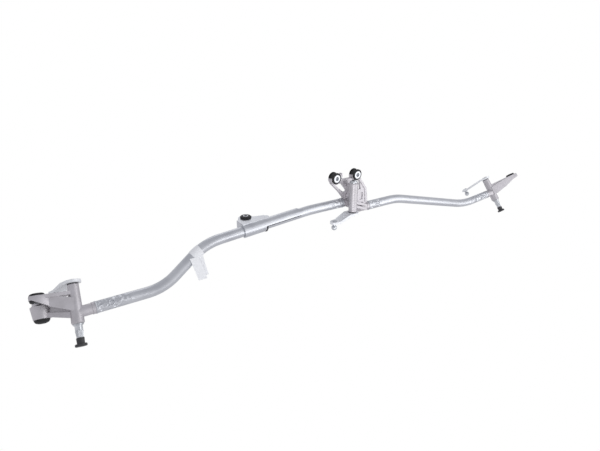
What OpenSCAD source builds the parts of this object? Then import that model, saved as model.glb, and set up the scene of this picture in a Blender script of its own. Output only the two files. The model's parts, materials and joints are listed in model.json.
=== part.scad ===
// Wiper linkage frame: two bent tubes, three bearing housings, two wiper spindles and a centre lever.
// Millimetres, Z up, X along the tubes, Y to the rear. The origin is the middle of the bracket's bolt hole.

/* [Frame] */
// Distance between the two spindle axes along X
spindle_span = 1112; // [1060:1:1200]
// Height of the right spindle's tube joint above the left one
right_rise = 5.5; // [0:0.5:12]
// Lean of both spindles, tips to the front
spindle_rake = 35; // [25:1:42]
// Outward lean of each spindle tip
spindle_splay = 6.5; // [2:0.5:9]
// Distance from the left spindle to the centre shaft along X
centre_x = 560; // [540:1:580]
// Centre shaft's distance in front of the tubes
centre_offset = 21; // [20:0.5:26]

/* [Tubes] */
// Outside diameter of both tubes
tube_d = 20; // [18:0.5:22]
// Wall of both tubes
tube_wall = 1.5; // [1.3:0.1:2]
// Gap from a spindle axis to the tube's end
tube_inset = 28; // [24:1:34]
// First bend of the left tube along X
first_bend_x = 143; // [132:1:150]
// Second bend of the left tube along X
second_bend_x = 225; // [212:1:235]
// Height of the second bend
second_bend_z = 63.5; // [52:0.5:68]
// Last bend of the left tube along X
crest_x = 458; // [440:1:480]
// Height of the left tube at the centre housing
crest_z = 81; // [76:0.5:86]
// Drop from the left tube to the right tube at the centre housing
tube_step = 21; // [16:0.5:26]
// First bend of the right tube, from the centre shaft along X
drop_reach = 154; // [140:1:170]
// Second bend of the right tube, from the right spindle along X
sag_reach = 128; // [112:1:150]
// Height of the right tube's second bend
sag_z = -5; // [-12:0.5:2]
// Bend radius of the left tube's first bend
first_bend_r = 85; // [60:1:110]
// Bend radius of the left tube's second bend
second_bend_r = 100; // [70:1:130]
// Bend radius of the shallow bends
shallow_bend_r = 240; // [150:5:300]
// Bend radius of the right tube's first bend
drop_bend_r = 190; // [100:5:220]
// How much thicker a tube is in its bends
bend_swell = 0.05; // [0.03:0.01:0.15]
// Depth of a crimp dent
dent_depth = 1.1; // [0.4:0.1:1.2]
// Radius of a crimp dent
dent_r = 6; // [4:0.5:7]

/* [Sleeves] */
// Length of each bearing sleeve
sleeve_len = 64; // [60:1:68]
// Sleeve diameter at the lever end
sleeve_top_d = 17.5; // [17:0.5:20]
// Sleeve diameter at the far end
sleeve_d = 20; // [19.5:0.5:24]
// Chamfer of a sleeve's far end
sleeve_chamfer = 1.5; // [0.5:0.25:2]
// Left sleeve's reach above its tube
left_sleeve_top = 46.5; // [45:0.5:50]
// Right sleeve's reach above its tube
right_sleeve_top = 39.5; // [37:0.5:44]
// Centre sleeve's foot below the left tube's axis
centre_foot = 16.5; // [15:0.5:19]
// Shaft diameter
shaft_d = 12; // [11:0.1:12.4]
// Wall of a bearing bush
bearing_wall = 1; // [0.8:0.1:1.2]
// Length of a bearing bush
bearing_len = 16; // [12:1:20]
// Radial slack of a fitted piece in its seat
fit_gap = 0.06; // [0.04:0.01:0.1]
// Radial running clearance of a shaft in its bushes
running_gap = 0.03; // [0.02:0.01:0.06]
// Axial play of a shaft
end_play = 0.2; // [0.1:0.05:0.4]
// Section of a seal ring
seal_section = 1.8; // [1.5:0.1:2]
// Thickness of the washers and retaining rings
washer_t = 1.2; // [0.8:0.1:1.6]
// Outside diameter of the washers and retaining rings
washer_d = 17; // [16:0.5:18]
// Depth of a retaining ring's groove
groove_depth = 0.7; // [0.4:0.1:1]

/* [Spindle tips] */
// Plain shaft below the sleeve
shank_len = 10.5; // [9:0.5:14]
// Length of the arm taper
taper_len = 11.5; // [9:0.5:13]
// Small diameter of the arm taper
taper_small_d = 9.6; // [9:0.1:10.5]
// Thread diameter
thread_d = 8; // [7:0.5:8.5]
// Thread length
thread_len = 12; // [10:0.5:16]
// Diameter of the cap's body
cap_d = 12.5; // [11.5:0.5:14]
// Diameter of the cap's flange
cap_flange_d = 18.5; // [17:0.5:22]
// Thickness of the cap's flange
cap_flange_t = 4.5; // [3:0.5:6]
// Wall at the cap's closed end
cap_end_t = 2; // [1.5:0.5:3]

/* [Levers] */
// Lever plate thickness
lever_t = 5; // [4:0.5:6]
// Radius of a lever's hub end
hub_r = 13; // [11:0.5:15]
// Radius of a lever's ball end
ball_end_r = 9; // [8:0.5:11]
// Length of the left lever
left_lever_len = 48; // [44:1:54]
// Length of the right lever
right_lever_len = 62; // [55:1:68]
// Length of the centre lever
centre_lever_len = 50; // [44:1:56]
// Step of the centre lever towards its ball
centre_lever_step = 11; // [8:0.5:13]
// Step of the end levers towards their balls
lever_step = 6; // [4:0.5:6.5]
// Left lever's direction in its own plane
left_lever_turn = 121; // [112:1:130]
// Right lever's direction in its own plane
right_lever_turn = 124; // [110:1:135]
// Ball diameter
ball_d = 12; // [10:0.5:13]
// Rivet shank diameter of a ball stud
stud_d = 8; // [7:0.5:9]
// Neck length between lever and ball
neck_len = 3; // [2.5:0.5:3.5]

/* [Fixings] */
// Bolt hole of the end and bracket spacers
spacer_bore = 6.6; // [6:0.1:7.5]
// Outside diameter of those spacers
spacer_d = 10; // [9.5:0.5:12]
// Grommet diameter inside its eye
grommet_neck_d = 15; // [14:0.5:17]
// Grommet flange diameter
grommet_d = 22; // [20:0.5:24]
// Grommet flange thickness
grommet_flange_t = 4; // [3:0.5:5]
// Outside diameter of the end eyes
eye_d = 24; // [23:0.5:27]
// Thickness of the end eyes
eye_t = 6; // [5:0.5:8]
// Left eye's distance from its spindle
left_eye_reach = 52; // [50:1:56]
// Left eye's middle above its tube
left_eye_z = 33; // [32:0.5:36]
// Right eye's distance from its spindle
right_eye_reach = 76; // [70:1:82]
// Right arm's turn to the front
right_arm_turn = 24; // [16:1:30]
// Right eye's middle above its tube
right_eye_z = 18; // [15:0.5:20]
// Buffer socket's position beyond the left spindle
socket_x = 48; // [45:1:52]
// Buffer socket's position behind the left spindle
socket_y = 23; // [22.5:0.5:27]
// Diameter of the buffer socket
socket_d = 25; // [24:0.5:26]
// Bolt hole of the centre eyes
ear_bore = 8.5; // [8:0.1:9.5]
// Outside diameter of the centre spacers
ear_spacer_d = 16; // [14:0.5:17]
// Rubber diameter inside a centre eye
ear_neck_d = 20; // [18.5:0.5:21]
// Flange diameter of a centre bush
ear_flange_d = 24; // [22.5:0.5:25]
// Flange thickness of a centre bush
ear_flange_t = 2.5; // [1.5:0.5:4]
// Outside diameter of a centre eye
ear_d = 27; // [25.5:0.5:29]
// Thickness of a centre eye
ear_t = 11; // [10:0.5:13]
// Distance between the two centre eyes
ear_spacing = 57; // [54:1:60]
// Offset of the centre eyes' middle from the shaft along X
ear_shift = -6.5; // [-8:0.5:-4]
// Height of the centre eyes above the left tube
ear_rise = 58; // [56:1:60]

/* [Bracket] */
// Bracket bolt hole along X
bracket_x = 325; // [300:1:350]
// Bracket bolt hole behind the tube
bracket_y = 26; // [25:0.5:32]
// Sheet thickness of the bracket
sheet_t = 3; // [2:0.25:3.5]
// Length of the bracket's saddle on the tube
saddle_len = 48; // [44:1:56]
// Length of the bracket's tongue past its saddle
tongue_len = 80; // [60:1:90]
// Depth of the bracket's turned-down edge
lip_h = 14; // [8:0.5:18]

/* [Label] */
// Width of the label along the tube
label_w = 18; // [12:1:24]
// Length of the label's flag
label_drop = 44; // [30:1:55]
// Thickness of the label
label_t = 0.8; // [0.6:0.1:1.2]
// Slack between the label and the tube
label_gap = 0.1; // [0.05:0.05:0.3]

/* [Hidden] */
$fn = 64;
// Overlap of a cutter past the face that it leaves
cut = 1;
tube_bore = tube_d - 2 * tube_wall;
bearing_d = shaft_d + 2 * running_gap + 2 * bearing_wall;
drop_z = crest_z - tube_step;
drop_x = centre_x + drop_reach;
sag_x = spindle_span - sag_reach;
right_joint = [spindle_span, right_rise];
// How far each spigot reaches into its tube
spigot_reach = 38;
// Thickness of the shoulder that a tube's end meets
shoulder_t = 5;
// Half width of the centre housing's body, left and right of its shaft
body_left = 14;
body_right = 62;
left_stop_x = centre_x - body_left;
right_start_x = centre_x + body_right;
left_heading = atan2(crest_z - second_bend_z, crest_x - second_bend_x);
right_heading = atan2(right_rise - sag_z, spindle_span - sag_x);
right_tube_end = right_joint - tube_inset * [cos(right_heading), sin(right_heading)];
left_path = [[tube_inset, 0], [first_bend_x, 0], [second_bend_x, second_bend_z], [crest_x, crest_z],
    [left_stop_x, crest_z]];
left_radii = [first_bend_r, second_bend_r, shallow_bend_r];
right_path = [[right_start_x, drop_z], [drop_x, drop_z], [sag_x, sag_z], right_tube_end];
right_radii = [drop_bend_r, shallow_bend_r];
// Tube axis height at the bracket
bracket_tube_z = second_bend_z + (bracket_x - second_bend_x) * tan(left_heading);
grommet_len = eye_t + 2 * grommet_flange_t;
// Room kept round a grommet's flange, from its axis
flange_room = grommet_d / 2 + 1;
// The bracket's grommet seats in one sheet thickness
mid_grommet_len = sheet_t + 2 * grommet_flange_t;
bracket_z = bracket_tube_z + tube_d / 2 + sheet_t / 2 + 1;
ear_len = ear_t + 2 * ear_flange_t;
ear_z = crest_z + ear_rise;
// Top of the bridge between the centre eyes, above the left tube
bridge_top = 53;
// The centre eyes along X, left and right of the shaft
left_ear = ear_shift - ear_spacing / 2;
right_ear = ear_shift + ear_spacing / 2;
// Lean of the centre eyes' openings towards the left
ear_tilt = 20;
// How far the centre eyes stand in front of the tubes' plane
ear_front = 6;
head_t = 1.5;
head_r = shaft_d / 2 + 1;
pin_r = shaft_d / 2 - 1;
lever_seat = end_play + washer_t;
ring_z = -sleeve_len - end_play - 2 * washer_t;
seal_r = shaft_d / 2 + running_gap + seal_section / 2;
seal_seat_r = seal_r + seal_section / 2 + running_gap;
tip_start = -sleeve_len - shank_len;
thread_top = tip_start - taper_len;
thread_end = thread_top - thread_len;
cap_end = thread_end - cap_end_t;
// Foot and height of the buffer's socket on the left housing
socket_base = 2;
socket_h = 23.5;
buffer_drop = 6.5;
buffer_stem_d = 10;
buffer_stem_len = 14;
// Where the right arm's web leaves its sleeve, in front of the shaft
web_start = 5.5;
// Gap between the bracket's tongue and the tube
tongue_gap = 0.8;
// The label hangs from the middle of the tube's steep run
label_share = 0.78;
label_x = first_bend_x + label_share * (second_bend_x - first_bend_x);
label_z = label_share * second_bend_z;
steep_heading = atan2(second_bend_z, second_bend_x - first_bend_x);
label_lean = 16;

alloy = "#b9b7b4";
zinc = "#a9aaac";
steel = "#d5d8da";
black_rubber = "#1b1b1d";
bronze = "#8d7a55";
black_plastic = "#202124";
paper = "#f2f2ee";

// Direction in the plane as a unit vector
function unit(a) = [cos(a), sin(a)];

// Heading from one point to the next
function heading(p, q) = atan2(q[1] - p[1], q[0] - p[0]);

// Places a piece so that the bracket's bolt hole is the origin
module placed() {
    translate([-bracket_x, -bracket_y, -bracket_z]) children();
}

// Frame of the left spindle: Z up the shaft, zero at the tube's axis
module at_left() {
    placed() rotate([-spindle_rake, 0, 0]) rotate([0, spindle_splay, 0]) children();
}

// Frame of the right spindle
module at_right() {
    placed()
        translate([spindle_span, 0, right_rise])
            rotate([-spindle_rake, 0, 0])
                rotate([0, -spindle_splay, 0]) children();
}

// Frame of the centre shaft's lever end, with Z pointing down out of the sleeve's foot
module at_centre() {
    placed()
        translate([centre_x, -centre_offset, crest_z - centre_foot])
            rotate([180, 0, 0]) children();
}

// Lays a drawing of X and height into the upright plane of the tubes
module upright() {
    placed() rotate([90, 0, 0]) children();
}

// Round bar along a bent path in the XY plane; its straights reach a little into its bends
module bent_bar(points, radii, r, extra = 0) {
    last = len(points) - 1;
    headings = [for (i = [0:last - 1]) heading(points[i], points[i + 1])];
    turns = [for (i = [1:last - 1]) headings[i] - headings[i - 1]];
    trims = [0, for (i = [0:last - 2]) radii[i] * tan(abs(turns[i]) / 2), 0];
    for (i = [0:last - 1]) {
        start = i == 0 ? -extra : trims[i] - cut;
        stop = norm(points[i + 1] - points[i]) - trims[i + 1] + (i == last - 1 ? extra : cut);
        translate([points[i][0], points[i][1], 0])
            rotate([0, 0, headings[i]])
                translate([start, 0, 0])
                    rotate([0, 90, 0]) cylinder(r = r, h = stop - start);
    }
    for (i = [1:last - 1]) {
        side = sign(turns[i - 1]);
        entry = points[i] - trims[i] * unit(headings[i - 1]);
        middle = entry + side * radii[i - 1] * unit(headings[i - 1] + 90);
        first = headings[i - 1] - side * 90 + min(0, turns[i - 1]);
        translate([middle[0], middle[1], 0])
            rotate([0, 0, first])
                rotate_extrude(angle = abs(turns[i - 1]))
                    translate([radii[i - 1], 0]) circle(r = r + bend_swell);
    }
}

// Three rows of crimp dents round a tube's end, which starts at the origin and runs along +X
module crimp_dents() {
    for (row = [0:2])
        for (k = [0:5])
            translate([8 + 11 * row, 0, 0])
                rotate([60 * k + 30 * row + 12, 0, 0])
                    translate([0, 0, tube_d / 2 + dent_r - dent_depth]) sphere(r = dent_r);
}

// Outline of a tapered strap between two rounded ends
module strap(p, r1, q, r2) {
    a = heading(p, q);
    lean = acos((r1 - r2) / norm(q - p));
    translate(p) circle(r = r1);
    translate(q) circle(r = r2);
    polygon([p + r1 * unit(a + lean), p + r1 * unit(a - lean),
        q + r2 * unit(a - lean), q + r2 * unit(a + lean)]);
}

// Ring with a round bore, standing on the XY plane
module ring(outer_d, inner_d, h) {
    difference() {
        cylinder(d = outer_d, h = h);
        translate([0, 0, -cut]) cylinder(d = inner_d, h = h + 2 * cut);
    }
}

// Outside of a bearing sleeve, from its lever end at zero down
module sleeve_body() {
    rotate_extrude()
        polygon([[0, 0], [sleeve_top_d / 2 - 0.6, 0], [sleeve_top_d / 2, -0.6],
            [sleeve_d / 2, -sleeve_len + sleeve_chamfer], [sleeve_d / 2 - sleeve_chamfer, -sleeve_len],
            [0, -sleeve_len]]);
}

// Bores of a bearing sleeve: bush seats, a relieved middle and the seal's seat
module sleeve_bores() {
    translate([0, 0, -sleeve_len - cut]) cylinder(d = bearing_d + 2 * fit_gap, h = sleeve_len + 2 * cut);
    translate([0, 0, -sleeve_len - cut]) cylinder(r = seal_seat_r, h = seal_section + 2 * running_gap + cut);
}

// Two bearing bushes in a sleeve
module bearing_pair() {
    for (z = [-bearing_len, -sleeve_len + seal_section + 2 * running_gap])
        translate([0, 0, z]) ring(bearing_d, shaft_d + 2 * running_gap, bearing_len);
}

// Seal ring at the far end of a sleeve
module seal_ring() {
    translate([0, 0, -sleeve_len + running_gap + seal_section / 2])
        rotate_extrude() translate([seal_r, 0]) circle(d = seal_section, $fn = 24);
}

// Half outline of a shaft through a sleeve: riveted head, lever pin, journal and ring groove
function journal_outline() = let (lever_top = lever_seat + lever_t, groove_r = shaft_d / 2 - groove_depth) [
    [0, lever_top + head_t], [head_r - head_t / 2, lever_top + head_t], [head_r, lever_top],
    [pin_r, lever_top], [pin_r, lever_seat], [shaft_d / 2, lever_seat],
    [shaft_d / 2, ring_z + washer_t], [groove_r, ring_z + washer_t], [groove_r, ring_z], [shaft_d / 2, ring_z]
];

// Wiper spindle: journal, plain shank, arm taper and thread
module spindle() {
    rotate_extrude()
        polygon(concat(journal_outline(), [
            [shaft_d / 2, tip_start], [shaft_d / 2 - 0.2, tip_start], [taper_small_d / 2, thread_top],
            [thread_d / 2, thread_top], [thread_d / 2, thread_end + 1], [thread_d / 2 - 1, thread_end],
            [0, thread_end]
        ]));
}

// Centre shaft: a journal with a short chamfered end past its ring
module centre_journal() {
    rotate_extrude()
        polygon(concat(journal_outline(), [[shaft_d / 2 - 1, ring_z - 2], [0, ring_z - 2]]));
}

// Push-on cap over a spindle's thread, flange at its closed end
module cap() {
    difference() {
        rotate_extrude()
            polygon([[0, thread_top], [cap_d / 2 - 0.6, thread_top], [cap_d / 2, thread_top - 0.6],
                [cap_d / 2 - 0.4, cap_end + cap_flange_t], [cap_flange_d / 2 - 1, cap_end + cap_flange_t],
                [cap_flange_d / 2, cap_end + cap_flange_t - 1.2], [cap_flange_d / 2, cap_end + 1],
                [cap_flange_d / 2 - 1, cap_end], [0, cap_end]]);
        translate([0, 0, thread_end]) cylinder(d = thread_d + 2 * fit_gap, h = thread_len + cut);
    }
}

// Washer under a lever
module thrust_washer() {
    translate([0, 0, end_play]) ring(washer_d, shaft_d, washer_t);
}

// Washer between a sleeve's far end and the retaining ring
module end_washer() {
    translate([0, 0, ring_z + washer_t]) ring(washer_d, shaft_d, washer_t);
}

// Open retaining ring in the shaft's groove
module retaining_ring() {
    translate([0, 0, ring_z])
        difference() {
            ring(washer_d - 1, shaft_d - 2 * groove_depth, washer_t);
            translate([0, -shaft_d / 4, -cut]) cube([washer_d, shaft_d / 2, washer_t + 2 * cut]);
        }
}

// Joggled lever: a plan outline cut by a stepped side outline, hub at the origin
module lever(length, step) {
    ramp_start = hub_r + 1;
    ramp_end = length - ball_end_r - 1;
    shift = lever_t * tan(atan2(step, ramp_end - ramp_start) / 2);
    far = length + ball_end_r + cut;
    translate([0, 0, lever_seat])
        difference() {
            intersection() {
                translate([0, 0, -step - cut])
                    linear_extrude(step + lever_t + 2 * cut)
                        strap([0, 0], hub_r, [length, 0], ball_end_r);
                rotate([90, 0, 0])
                    translate([0, 0, -hub_r - cut])
                        linear_extrude(2 * (hub_r + cut))
                            polygon([[-hub_r - cut, 0], [ramp_start, 0], [ramp_end, -step],
                                [far, -step], [far, lever_t - step],
                                [ramp_end + shift, lever_t - step], [ramp_start + shift, lever_t],
                                [-hub_r - cut, lever_t]]);
            }
            translate([0, 0, -cut]) cylinder(r = pin_r + fit_gap, h = lever_t + 2 * cut);
            translate([length, 0, -step - cut]) cylinder(d = stud_d + 2 * fit_gap, h = lever_t + 2 * cut);
        }
}

// Ball stud riveted through a lever's end, ball on the sleeve's side
module ball_stud(length, step) {
    plate = lever_seat - step;
    translate([length, 0, plate]) {
        cylinder(d = stud_d, h = lever_t);
        translate([0, 0, lever_t]) cylinder(d1 = stud_d + 4, d2 = stud_d, h = 2);
        translate([0, 0, -1.5]) cylinder(d = stud_d + 3, h = 1.5);
        translate([0, 0, -neck_len - ball_d / 2]) cylinder(d = stud_d - 1.5, h = neck_len + ball_d / 2);
        translate([0, 0, -neck_len - ball_d / 2]) sphere(d = ball_d);
    }
}

// Grommet with a flange on each side of its seat, centred on its seat
module grommet(flange_d, neck_d, bore_d, seat, flange_t) {
    top = seat / 2 + flange_t;
    rotate_extrude()
        polygon([[bore_d / 2, -top], [flange_d / 2 - 1.5, -top], [flange_d / 2, -top + 1.5],
            [flange_d / 2, -seat / 2], [neck_d / 2, -seat / 2], [neck_d / 2, seat / 2],
            [flange_d / 2, seat / 2], [flange_d / 2, top - 1.5], [flange_d / 2 - 1.5, top],
            [bore_d / 2, top]]);
}

// Spacer sleeve centred on the origin
module spacer(outer_d, bore_d, length) {
    translate([0, 0, -length / 2]) ring(outer_d, bore_d, length);
}

// Neck, shoulder and spigot that a tube end sits on, along +Z from a sleeve's axis
module spigot(reach) {
    cylinder(d = tube_d - 1.5, h = reach);
    translate([0, 0, reach - shoulder_t]) cylinder(d = tube_d, h = shoulder_t);
    translate([0, 0, reach]) cylinder(d = tube_bore - 2 * fit_gap, h = spigot_reach);
}

module left_housing() {
    eye_foot = left_eye_z - eye_t / 2;
    bar_turn = heading([0, 0], [-socket_x, socket_y]);
    bar_len = norm([socket_x, socket_y]);
    color(alloy)
        difference() {
            union() {
                at_left() {
                    translate([0, 0, left_sleeve_top]) sleeve_body();
                    // Front web from the sleeve up to the eye
                    translate([0, -4, 0])
                        rotate([90, 0, 0])
                            linear_extrude(5)
                                polygon([[0, 1], [0, 23.5], [-left_eye_reach + 12, eye_foot + eye_t - 1],
                                    [-left_eye_reach, eye_foot + eye_t], [-left_eye_reach, eye_foot],
                                    [-left_eye_reach + flange_room, eye_foot], [-38, 16.5]]);
                    // Flat plate behind the web, which ends in the eye
                    translate([0, 0, eye_foot])
                        linear_extrude(eye_t)
                            strap([0, 0], sleeve_top_d / 2 - 2, [-left_eye_reach, 0], eye_d / 2);
                    // Rising bar of the buffer's socket, with a thinner wall above it
                    rotate([0, 0, bar_turn]) {
                        translate([0, 6, 0])
                            rotate([90, 0, 0])
                                linear_extrude(12)
                                    polygon([[0, -9], [bar_len - socket_d / 2 - 1, socket_base + 0.5],
                                        [bar_len, socket_base + 0.5], [bar_len, socket_base + 10.5], [0, 2]]);
                        translate([0, 2, 0])
                            rotate([90, 0, 0])
                                linear_extrude(4)
                                    polygon([[0, 0], [bar_len - 5, socket_base + 8],
                                        [bar_len - 5, socket_base + 20], [0, 24]]);
                    }
                    translate([-socket_x, socket_y, socket_base])
                        cylinder(d1 = socket_d, d2 = socket_d + 6, h = socket_h - 3);
                    translate([-socket_x, socket_y, socket_base + socket_h - 3])
                        cylinder(d1 = socket_d + 6, d2 = socket_d - 2, h = 3);
                }
                placed() rotate([0, 90, 0]) spigot(tube_inset);
            }
            at_left() {
                translate([0, 0, left_sleeve_top]) sleeve_bores();
                translate([-left_eye_reach, 0, eye_foot - cut])
                    cylinder(d = grommet_neck_d + 2 * fit_gap, h = eye_t + 2 * cut);
                translate([-socket_x, socket_y, socket_base - cut])
                    cylinder(d = buffer_stem_d + 2 * fit_gap, h = buffer_stem_len + 1 + cut);
            }
        }
}

module right_housing() {
    eye_foot = right_eye_z - eye_t / 2;
    web_turn = asin((flange_room + 0.6 - web_start) / right_eye_reach);
    color(alloy)
        difference() {
            union() {
                at_right() {
                    translate([0, 0, right_sleeve_top]) sleeve_body();
                    rotate([0, 0, -right_arm_turn]) {
                        // Web along the front of the arm, past the eye's flange
                        translate([0, -web_start, 0])
                            rotate([90, 0, -web_turn])
                                linear_extrude(5)
                                    polygon([[0, -10.5], [42, -1], [right_eye_reach - 8, eye_foot - 7],
                                        [right_eye_reach + 9, eye_foot - 4],
                                        [right_eye_reach + 9, eye_foot + eye_t],
                                        [40, eye_foot + 4], [0, 14]]);
                        // Flat plate behind the web, which ends in the eye
                        translate([0, 0, eye_foot])
                            linear_extrude(eye_t)
                                strap([0, 0], sleeve_top_d / 2 - 2, [right_eye_reach, 0], eye_d / 2 + 2.5);
                    }
                }
                placed()
                    translate([spindle_span, 0, right_rise])
                        rotate([0, -90 - right_heading, 0]) spigot(tube_inset);
            }
            at_right() {
                translate([0, 0, right_sleeve_top]) sleeve_bores();
                rotate([0, 0, -right_arm_turn])
                    translate([right_eye_reach, 0, eye_foot - cut])
                        cylinder(d = grommet_neck_d + 2 * fit_gap, h = eye_t + 2 * cut);
            }
        }
}

// Front view of the centre housing's web, X from the shaft and Z from the left tube
module centre_web_outline() {
    polygon([[left_ear - 12, ear_rise - 5], [-body_left + 1.2, 12], [-body_left + 1.2, -8], [46, -8],
        [46.5, -tube_step + 0.7], [body_right - 2.3, -tube_step + 0.7], [body_right - 3, -6],
        [body_right - 5, 12], [body_right - 8.5, 23.5], [right_ear + 11.5, ear_rise - 6],
        [right_ear - 8, bridge_top], [left_ear + 10, bridge_top]]);
}

// Window of that web between the legs of the left eye
module left_window() {
    polygon([[left_ear - 5.5, ear_rise - 12], [-11, 23.5], [1, 24.5], [left_ear + 17, ear_rise - 13.5]]);
}

// Window of that web beside the right leg
module right_window() {
    polygon([[9, 25], [body_right - 24.5, 22.5], [right_ear + 12, ear_rise - 15], [9, ear_rise - 13]]);
}

// Raised edge of the centre housing, wider at one end than at the other
module centre_rib(from, from_r, to, to_r) {
    along = unit(heading(from, to));
    across = unit(heading(from, to) + 90);
    translate([centre_x, 3.4, crest_z])
        rotate([90, 0, 0])
            linear_extrude(7.6)
                polygon([from + from_r * (across - along), to + to_r * (across + along),
                    to - to_r * (across - along), from - from_r * (across + along)]);
}

module centre_housing() {
    color(alloy)
        difference() {
            union() {
                at_centre() rotate([180, 0, 0]) translate([0, 0, sleeve_len]) sleeve_turned();
                placed() {
                    // Web behind the sleeve, with its windows
                    translate([centre_x, 2.5, crest_z])
                        rotate([90, 0, 0])
                            difference() {
                                linear_extrude(5.5) centre_web_outline();
                                translate([0, 0, -cut]) linear_extrude(5.5 + 2 * cut) left_window();
                                translate([0, 0, -cut]) linear_extrude(5.5 + 2 * cut) right_window();
                            }
                    // Legs of the eyes and the bridge between them
                    centre_rib([left_ear - 8.5, ear_rise - 10], 2, [-body_left + 4.5, 15.5], 2.2);
                    centre_rib([left_ear + 13.5, ear_rise - 6], 2, [-1, 27.5], 2.2);
                    centre_rib([left_ear + 14.5, ear_rise - 5], 1.9, [left_ear + 17, ear_rise + 7], 1.6);
                    centre_rib([right_ear + 9.5, ear_rise - 9], 2.3, [body_right - 11, 23], 2.5);
                    centre_rib([body_right - 10.8, 22.5], 2.2, [body_right - 7.6, -6], 2.7);
                    centre_rib([left_ear + 12, bridge_top - 3], 2.2, [right_ear - 10, bridge_top - 3], 2.3);
                    // Block between the sleeve and the web
                    translate([centre_x - 6.5, -centre_offset, crest_z - centre_foot + 8])
                        cube([13, centre_offset, sleeve_len - 14]);
                    // Eyes of the rubber bushes
                    for (x = [left_ear, right_ear])
                        translate([centre_x + x, ear_t - ear_front, ear_z])
                            rotate([90, 0, 0]) cylinder(d = ear_d, h = ear_t);
                    // Stepped ribs between the two tube joints
                    for (z = [2.3, -6.5])
                        translate([centre_x, -2, crest_z + z])
                            rotate([90, 0, 0])
                                linear_extrude(8.6)
                                    polygon([[3, 3], [body_right - 9, -tube_step + 5.6],
                                        [body_right - 9, -tube_step], [3, -3]]);
                    translate([centre_x, 0, crest_z]) rotate([0, -90, 0]) spigot(body_left);
                    translate([right_start_x - 26, 0, drop_z]) rotate([0, 90, 0]) spigot(26);
                }
            }
            at_centre() rotate([180, 0, 0]) translate([0, 0, sleeve_len]) sleeve_bores_turned();
            placed() {
                for (x = [left_ear, right_ear])
                    translate([centre_x + x, ear_t - ear_front + cut, ear_z])
                        rotate([90, 0, 0]) {
                            cylinder(d = ear_neck_d + 2 * fit_gap, h = ear_t + 2 * cut);
                            // The eye is open at the top, where the rubber shows
                            rotate(ear_tilt)
                                translate([-ear_d / 2 - cut, ear_d / 6, 0])
                                    cube([ear_d + 2 * cut, ear_d, ear_t + 2 * cut]);
                        }
                // Shallow pocket in the web's front
                translate([centre_x + 36.5, -3 - cut, crest_z - 2]) cube([8, 2 + cut, 16.5]);
            }
        }
}

// The centre sleeve stands on its lever end
module sleeve_turned() {
    translate([0, 0, -sleeve_len]) rotate([180, 0, 0]) sleeve_body();
}

module sleeve_bores_turned() {
    translate([0, 0, -sleeve_len]) rotate([180, 0, 0]) sleeve_bores();
}

module left_tube() {
    color(zinc)
        upright()
            difference() {
                bent_bar(left_path, left_radii, tube_d / 2);
                bent_bar(left_path, left_radii, tube_bore / 2, cut);
                translate([left_path[0][0], 0, 0]) crimp_dents();
                translate([left_stop_x, crest_z, 0]) rotate([0, 0, 180]) crimp_dents();
            }
}

module right_tube() {
    color(zinc)
        upright()
            difference() {
                bent_bar(right_path, right_radii, tube_d / 2);
                bent_bar(right_path, right_radii, tube_bore / 2, cut);
                translate([right_start_x, drop_z, 0]) crimp_dents();
                translate([right_tube_end[0], right_tube_end[1], 0])
                    rotate([0, 0, 180 + right_heading]) crimp_dents();
            }
}

// Part of a bar round the tube's slope, from one X to another, cut off below a depth
module saddle(from_x, to_x, wall, depth) {
    on_slope(from_x)
        difference() {
            cylinder(d = tube_d + 2 * wall, h = to_x - from_x);
            translate([depth, -tube_d, -cut]) cube([tube_d, 2 * tube_d, to_x - from_x + 2 * cut]);
        }
}

// Frame on the axis of the tube's slope at an X, with Z along the tube
module on_slope(x) {
    translate([x, 0, second_bend_z + (x - second_bend_x) * tan(left_heading)])
        rotate([0, 90 - left_heading, 0]) children();
}

module mid_bracket() {
    plate_top = bracket_z + sheet_t / 2;
    plate_left = bracket_x - 22;
    tongue_x = plate_left + saddle_len;
    color(zinc)
        placed() {
            difference() {
                union() {
                    saddle(plate_left, tongue_x, sheet_t, 6);
                    // Plate behind the tube with the grommet's hole
                    translate([plate_left, 0, plate_top - sheet_t]) {
                        linear_extrude(sheet_t)
                            polygon([[0, -3], [saddle_len - 1, -3], [saddle_len - 1, 3], [saddle_len + 15, 3],
                                [saddle_len + 17, 13], [saddle_len + 10, 20], [22, bracket_y + 2],
                                [0, bracket_y - 4]]);
                        translate([22, bracket_y, 0]) cylinder(r = 15, h = sheet_t);
                    }
                    // Left edge of the plate, turned down
                    translate([plate_left, 6, plate_top - lip_h])
                        cube([sheet_t, bracket_y - 10, lip_h - 0.5]);
                }
                translate([bracket_x, bracket_y, bracket_z - sheet_t])
                    cylinder(d = grommet_neck_d + 2 * fit_gap, h = 2 * sheet_t);
                upright_tube_cut();
            }
            // Shallow tongue along the tube, clear of it all round
            difference() {
                saddle(tongue_x - 2, tongue_x + tongue_len, sheet_t - 0.8, -1);
                on_slope(tongue_x - 3) cylinder(d = tube_d + 2 * tongue_gap, h = tongue_len + 5);
            }
        }
}

// Room for the left tube inside the bracket's saddle
module upright_tube_cut() {
    rotate([90, 0, 0]) bent_bar(left_path, left_radii, tube_d / 2 + fit_gap);
}

module at_left_eye() {
    at_left() translate([-left_eye_reach, 0, left_eye_z]) children();
}

module at_right_eye() {
    at_right() rotate([0, 0, -right_arm_turn]) translate([right_eye_reach, 0, right_eye_z]) children();
}

// Middle of the centre eye at an X from the shaft, Z to the front
module at_ear(ear_x) {
    placed()
        translate([centre_x + ear_x, ear_t / 2 - ear_front, ear_z])
            rotate([90, 0, 0]) children();
}

module end_grommet() {
    color(black_rubber) grommet(grommet_d, grommet_neck_d, spacer_d, eye_t, grommet_flange_t);
}

module end_spacer() {
    color(steel) spacer(spacer_d, spacer_bore, grommet_len + 1);
}

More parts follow.
